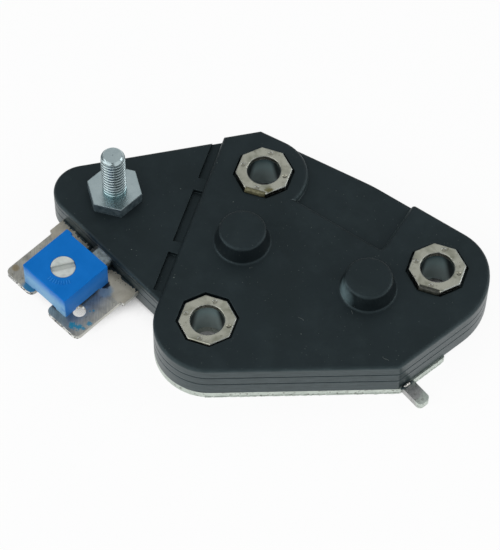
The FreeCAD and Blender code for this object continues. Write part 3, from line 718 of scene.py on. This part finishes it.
def build_thread(count=72, rows_per_turn=16):
    mesh = bmesh.new()
    rows = int(thread_h / pitch * rows_per_turn)
    rings = []
    for k in range(rows + 1):
        z = thread_h * k / rows
        rings.append(ring(mesh, stud_axis, lambda angle: thread_radius(z, angle), z_collar + z, count))
    for lower, upper in zip(rings, rings[1:]):
        bridge(mesh, lower, upper)
    mark = ring(mesh, stud_axis, lambda angle: mark_r, z_end, count)
    bridge(mesh, rings[-1], mark)
    centre = mesh.verts.new((stud_axis.x, stud_axis.y, z_end - mark_r / 2))
    for i in range(count):
        mesh.faces.new((mark[i], mark[(i + 1) % count], centre))
    mesh.faces.new(list(reversed(rings[0])))
    for edge in mesh.edges:
        edge.smooth = not all(vert in rings[-1] or vert in mark for vert in edge.verts)
    return mesh


def build_collar():
    mesh = bmesh.new()
    corner_r = hex_flats / 2 / math.cos(math.radians(30))
    corners = [stud_axis + polar(hex_turn + 60 * i, corner_r) for i in range(6)]
    sweep(mesh, [[c + Vector((0, 0, z)) for c in corners] for z in (z_seat, z_collar)])
    bmesh.ops.bevel(mesh, geom=list(mesh.edges), offset=0.10 * MM, segments=2, affect="EDGES", profile=0.5)
    return mesh


# %% [markdown]
# Zinc plate
#
# Bright zinc is bluish. The teal low on the thread, just above the collar, is a painted reflection. The
# hexagon's sides are darker and less metallic as painted shade, and the roots of the thread are darkened
# as painted shade.

# %% The stud's finish and pieces


def zinc_plate():
    material, tree, shader, here = new_finish("steel, zinc plated and passivated")
    tone = steps(tree, cloud(tree, here, 2), (0.3, colour("A2B1B4")), (0.7, colour("B2C0C2")))
    height = add(tree, "SeparateXYZ", {"Vector": here}), "Z"
    # Painted reflection: the thread turns teal just above the collar.
    painted_teal_reflection = span(tree, height, z_collar + 0.1 * MM, z_collar + 1.6 * MM, 0.5, 0.0)
    above = maths(tree, "GREATER_THAN", height, z_collar + 0.05 * MM)
    tone = blend(tree, maths(tree, "MULTIPLY", painted_teal_reflection, above), tone, colour("86B0B6"))

    flat = add(tree, "VectorMath", {0: here, 1: (1, 1, 0)}, operation="MULTIPLY"), "Vector"
    away = add(tree, "VectorMath", {0: flat, 1: stud_axis}, operation="DISTANCE"), "Value"
    below_end = maths(tree, "LESS_THAN", height, z_end - crown)
    # Painted shade in the roots of the thread.
    root_shade = span(tree, away, thread_root_r + 0.05 * MM, thread_root_r + 0.25 * MM, 0.75, 0.0)
    root_shade = maths(tree, "MULTIPLY", root_shade, maths(tree, "MULTIPLY", above, below_end))
    tone = blend(tree, root_shade, tone, colour("3C4648"))
    # Painted shade: the hexagon's sides are darker, rougher and less metallic than its top.
    upright = span(tree, maths(tree, "ABSOLUTE", facing(tree, (0, 0, 1))), 0.2, 0.5, 1.0, 0.0)
    drawn = maths(tree, "MULTIPLY", upright, maths(tree, "SUBTRACT", 1.0, above))
    skin = steps(tree, cloud(tree, here, 0.9), (0.35, colour("36454B")), (0.65, colour("5C6A6F")))
    tone = blend(tree, drawn, tone, skin)
    link(tree, tone, shader, "Base Color")
    smooth = span(tree, cloud(tree, here, 1.5), 0.3, 0.7, 0.20, 0.27)
    link(tree, maths(tree, "ADD", smooth, maths(tree, "MULTIPLY", drawn, 0.35)), shader, "Roughness")
    link(tree, maths(tree, "SUBTRACT", 1.0, maths(tree, "MULTIPLY", drawn, 0.6)), shader, "Metallic")
    relief(tree, shader, (cloud(tree, here, 0.8, detail=2), 0.05, 0.02), over=rounded(tree, 0.05))
    return material


zinc = zinc_plate()
for name, mesh, smooth in (("stud_thread", build_thread(), True), ("stud_collar", build_collar(), False)):
    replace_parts(keep(mesh, name, zinc, smooth), "output_stud")

# %% [markdown]
# Flash on the tabs
#
# In pressing, resin creeps out of the parting line over the tabs and sets as a thin ragged skin. It is
# a strip whose width follows two scales of noise, thick at the wall and thin at its outer edge. It
# swells beside the tongue, where the resin had most room to flow.

# %% Build the flash
flash_w = 0.42
flash_t = 0.16 * MM
flash_sunk = 0.02 * MM


def build_flash(start_mm, end_mm, pitch_mm=0.06):
    mesh = bmesh.new()
    count = int(abs(end_mm - start_mm) / pitch_mm)
    sections = []
    for k in range(count + 1):
        up = start_mm + (end_mm - start_mm) * k / count
        coarse = noise.noise(Vector((0.9 * up, 3.1, 0.0)))
        fine = noise.noise(Vector((4.5 * up, 7.7, 0.0)))
        blob = 2.0 * math.exp(-((up - start_mm) / 0.5) ** 2)
        width = flash_w * max(0.15, 0.8 + 0.9 * coarse + 0.7 * fine + blob)
        wall = wall_out_mm(up)
        sections.append([
            at_trimmer(wall - 0.2, up, z_tab - flash_sunk),
            at_trimmer(wall - 0.2, up, z_tab + flash_t),
            at_trimmer(wall + 0.5 * width, up, z_tab + flash_t * (0.7 + 0.3 * fine)),
            at_trimmer(wall + width, up, z_tab - flash_sunk),
        ])
    sweep(mesh, sections)
    return mesh


keep(build_flash(1.6, 8.7), "far_tab_flash", thermoset)
keep(build_flash(-2.9, -9.1), "near_tab_flash", thermoset)

# %% [markdown]
# Tick marks
#
# A trimmer's dial has a plain scale moulded round it. The ticks are low ribs that point at the rotor's
# axis, placed by a loop.

# %% Build the ticks
tick_count = 9
tick_from, tick_to = 223.0, 290.0
tick_inner, tick_outer = 2.6 * MM, 3.3 * MM
tick_w = 0.15 * MM
tick_h = 0.09 * MM
tick_sunk = 0.01 * MM
tick_taper = 0.5


def build_ticks():
    mesh = bmesh.new()
    for i in range(tick_count):
        turn = tick_from + (tick_to - tick_from) * i / (tick_count - 1)
        side = polar(turn + 90) * tick_w / 2
        sections = []
        for reach in (tick_inner, tick_outer):
            middle = rotor_at + polar(turn, reach)
            foot = Vector((0, 0, z_trimmer - tick_sunk))
            top = Vector((0, 0, z_trimmer + tick_h))
            sections.append([middle + side + foot, middle + side * tick_taper + top,
                             middle - side * tick_taper + top, middle - side + foot])
        sweep(mesh, sections)
    return mesh


# The ticks take a lighter blue, a painted highlight on the ribs.
painted_light = moulded_polyester("blue polyester, rubbed on its raised marks", "2384D8", "3D97E2")
keep(build_ticks(), "trimmer_ticks", painted_light, smooth=False)

# %% [markdown]
# Burrs and a bead
#
# Shears leave a thin torn burr along the lower edge of the plate. Over the finger's root lies a small
# bright bead of solder in a smear of resin, both drawn out along the foot of the wall.

# %% Build the burrs and the bead
burr_mean, burr_least = 0.07, 0.01


def build_burr(start, way, out, length_mm, pitch_mm=0.08):
    mesh = bmesh.new()
    count = int(length_mm / pitch_mm)
    sections = []
    for k in range(count + 1):
        at = start + way * (length_mm * k / count) * MM
        torn = noise.noise(Vector((at.x / MM * 1.1, at.y / MM * 1.1, 0.0)))
        fine = noise.noise(Vector((at.x / MM * 2.7, at.y / MM * 2.7, 4.3)))
        reach = out * max(burr_least, burr_mean + 0.10 * torn + 0.06 * fine) * MM
        sections.append([at + Vector((0, 0, 0.01 * MM)), at + reach + Vector((0, 0, 0.03 * MM)),
                         at + reach * 0.5 + Vector((0, 0, 0.16 * MM)), at + Vector((0, 0, 0.34 * MM))])
    sweep(mesh, sections)
    return mesh


def build_bead(centre, way, length_mm, radius_mm, count=14, rows=22):
    mesh = bmesh.new()
    side = Vector((-way.y, way.x, 0.0))
    sections = []
    for k in range(1, rows):
        part = 2 * k / rows - 1
        r = radius_mm * MM * math.sqrt(1 - part ** 2) * (1 + 0.25 * noise.noise(Vector((3 * part, 0.0, 9.0))))
        middle = centre + way * (length_mm / 2 * part) * MM
        angles = [2 * math.pi * i / count for i in range(count)]
        sections.append([middle + side * r * math.cos(a) + Vector((0, 0, r * math.sin(a))) for a in angles])
    sweep(mesh, sections)
    return mesh


front_from = Vector((-0.6, -9.2, 0.0)) * MM
front_edge = build_burr(front_from, Vector((1, 0, 0)), Vector((0, -1, 0)), 30.2)
keep(front_edge, "front_burr", aluminium)
keep(build_burr(plate_corner + slant_way * 2.7 * MM, slant_way, slant_out, 6.2), "slant_burr", aluminium)
bead_at = plate_corner + slant_way * 1.2 * MM + slant_out * 0.06 * MM + Vector((0, 0, z_plate + 0.22 * MM))
bead_finish = plain_finish("soft solder, set bright", "DAD7D2", "A5A19C", 0.8, 0.08, 1.0)
keep(build_bead(bead_at, slant_way, 1.5, 0.30), "solder_bead", bead_finish)
smear_at = bead_at - Vector((0, 0, 0.16 * MM))
keep(build_bead(smear_at, slant_way, 2.6, 0.34), "resin_smear", thermoset)

# %% [markdown]
# Folded lips and lint
#
# The two raised eyelets have one edge folded down into their pockets, under a skin of resin with a torn
# end. A few fibres of lint lie on the cover: each is a thin bent tube.

# %% Build the lips and the lint
fold_way = polar(eyelet_turn + 180)
fold_side = polar(eyelet_turn + 90)
fold_reach = 4.2
fold_half = 1.74
fibres = [((26.7, -7.3), -75.0, 1.2), ((22.4, 0.4), 60.0, 0.7), ((14.8, -0.6), 100.0, 1.0)]


def build_lip(axis, torn, rows=24):
    """A rolled edge; the torn share of it is bitten away over its last fifth."""
    mesh = bmesh.new()
    profile = [(-0.30, 0.015), (-0.08, 0.0), (0.12, -0.08), (0.25, -0.25)]
    profile += [(0.32, -0.50), (0.33, -0.85), (-0.25, -0.85)]
    sections = []
    for k in range(rows + 1):
        along_mm = fold_half * (1.0 - 1.9 * k / rows)
        tear = max(0.0, k / rows - 0.8) / 0.2
        keep_mm = 1.0 - torn * tear * (1 + noise.noise(Vector((5.0 * k / rows, 2.0, 1.0))))
        at = axis + fold_side * along_mm * MM
        sections.append([at + fold_way * (fold_reach + x * (keep_mm if x > 0 else 1.0)) * MM
                         + Vector((0, 0, z_eyelet + z * MM)) for x, z in profile])
    sweep(mesh, sections)
    return mesh


def build_fibre(place, turn, length_mm, radius_mm=0.022, count=6, rows=14):
    mesh = bmesh.new()
    at = Vector((*place, 0.0)) * MM + Vector((0, 0, z_plateau + radius_mm * MM))
    sections = []
    for k in range(rows + 1):
        heading_now = turn + 55 * math.sin(2.6 * k / rows)
        side = polar(heading_now + 90) * radius_mm * MM
        up = Vector((0, 0, radius_mm * MM))
        angles = [2 * math.pi * i / count for i in range(count)]
        sections.append([at + side * math.cos(a) + up * math.sin(a) for a in angles])
        at = at + polar(heading_now, length_mm * MM / rows)
    sweep(mesh, sections)
    return mesh


lip_finish = plain_finish("nickel plate under a skin of resin", "7E7B5E", "55523B", 0.4, 0.36, 0.3)
keep(build_lip(bore_axes[1], 0.6), "battery_eyelet_lip", lip_finish)
# The field eyelet's lip is the same plate in a darker copy: painted shade.
lip_in_painted_shade = plain_finish("nickel plate under dark resin", "4A4B43", "2C2F2B", 0.4, 0.34, 0.3)
keep(build_lip(bore_axes[2], 0.3), "field_eyelet_lip", lip_in_painted_shade)
cotton = plain_finish("cotton lint", "767E7C", "565E5C", 0.3, 0.8)
for number, (place, turn, length_mm) in enumerate(fibres, 1):
    keep(build_fibre(place, turn, length_mm), "lint_" + str(number), cotton)

# %% [markdown]
# Floor and light
#
# The part was pictured on white. The floor is white to the camera and to reflections, which gives the
# side walls their grey sheen, and it still takes the part's shadow. Light can't get under the part or
# down its bores, so the white fades where little of the sky above is open. Large soft lights stand
# round the part.

# %% Floor


def white_floor():
    """Diffuse paper that is mostly white light to the camera and to reflections, so a shadow stays."""
    material, tree, shader, here = new_finish("white paper sweep")
    weave = cloud(tree, here, 40)
    paper = steps(tree, weave, (0.3, colour("F4F4F4")), (0.7, colour("F8F8F8")))
    shader.inputs["Roughness"].default_value = 0.9
    ray = add(tree, "LightPath")
    seen = either(tree, (ray, "Is Camera Ray"), (ray, "Is Glossy Ray"), (ray, "Is Transmission Ray"))
    sky = add(tree, "AmbientOcclusion", {"Distance": 12 * MM}, samples=12)
    # Painted shadow: the paper turns grey where little sky is open, under the part and in its bores.
    link(tree, blend(tree, span(tree, (sky, "AO"), 0.02, 0.10, 1.0, 0.0), paper, colour("70797C")), shader,
         "Base Color")
    unlit = span(tree, (sky, "AO"), 0.12, 0.30, 0.0, 0.93)
    share = maths(tree, "MULTIPLY", seen, unlit)
    white = add(tree, "Emission", {"Color": grey(1.0), "Strength": 1.0})
    mixed = add(tree, "MixShader", {0: share, 1: (shader, "BSDF"), 2: (white, "Emission")})
    output = [n for n in tree.nodes if n.type == "OUTPUT_MATERIAL"][0]
    tree.links.new(mixed.outputs[0], output.inputs["Surface"])
    return material


floor_gap = 0.02 * MM
bpy.ops.mesh.primitive_plane_add(size=4.0, location=(0, 0, cad_box[0].z - floor_gap))
floor = bpy.context.object
floor.name = "floor"
floor.data.materials.append(white_floor())

# %% World and lamps
world = bpy.data.worlds.new("soft studio")
bpy.context.scene.world = world
world.use_nodes = True
world_tree = world.node_tree
world_tree.nodes.clear()
ray = add(world_tree, "LightPath")
dim = add(world_tree, "Background", {"Color": colour("DFE5E8"), "Strength": 0.30})
white = add(world_tree, "Background", {"Color": grey(1.0), "Strength": 1.0})
backdrops = {0: (ray, "Is Camera Ray"), 1: (dim, "Background"), 2: (white, "Background")}
shown = add(world_tree, "MixShader", backdrops)
add(world_tree, "OutputWorld", {"Surface": (shown, "Shader")})


def lamp(name, size, energy, place, aim):
    data = bpy.data.lights.new(name, "AREA")
    data.size = size
    data.energy = energy
    light = bpy.data.objects.new(name, data)
    bpy.context.scene.collection.objects.link(light)
    light.location = place
    light.rotation_euler = (Vector(aim) - Vector(place)).to_track_quat("-Z", "Y").to_euler()
    return light


middle = (cad_box[0] + cad_box[1]) / 2
lamp("key", 0.8, 2.6, (-0.45, -0.35, 0.45), middle)
lamp("fill", 0.9, 1.9, (0.5, -0.5, 0.3), middle)
lamp("back", 0.8, 1.0, (0.06, 0.44, 0.70), middle)
lamp("left rim", 0.4, 1.15, (-0.7, 0.0, 0.32), middle)
lamp("right rim", 0.4, 1.5, (0.7, 0.12, 0.34), middle)

# %% [markdown]
# Camera
#
# The camera stands where the picture was taken from: steeply above the front, a long way off with a
# long lens, and tipped a little.

# %% Camera
look_at = Vector((7.05, 12.99, 0.0)) * MM
heading = math.atan2(0.0462, 0.9989)
elevation = math.radians(58.09)
distance = 412.2 * MM
roll = math.radians(1.15)
forward = Vector((math.sin(heading) * math.cos(elevation), math.cos(heading) * math.cos(elevation),
                  -math.sin(elevation)))
camera_data = bpy.data.cameras.new("camera")
camera_data.sensor_fit = "HORIZONTAL"
camera_data.sensor_width = 36.0
camera_data.lens = 185.8
camera = bpy.data.objects.new("camera", camera_data)
bpy.context.scene.collection.objects.link(camera)
camera.location = look_at - forward * distance
camera.rotation_mode = "QUATERNION"
camera.rotation_quaternion = forward.to_track_quat("-Z", "Y") @ Quaternion((0, 0, 1), roll)
camera_data.clip_start = 0.01
bpy.context.scene.camera = camera
bpy.context.scene.view_settings.view_transform = "Standard"
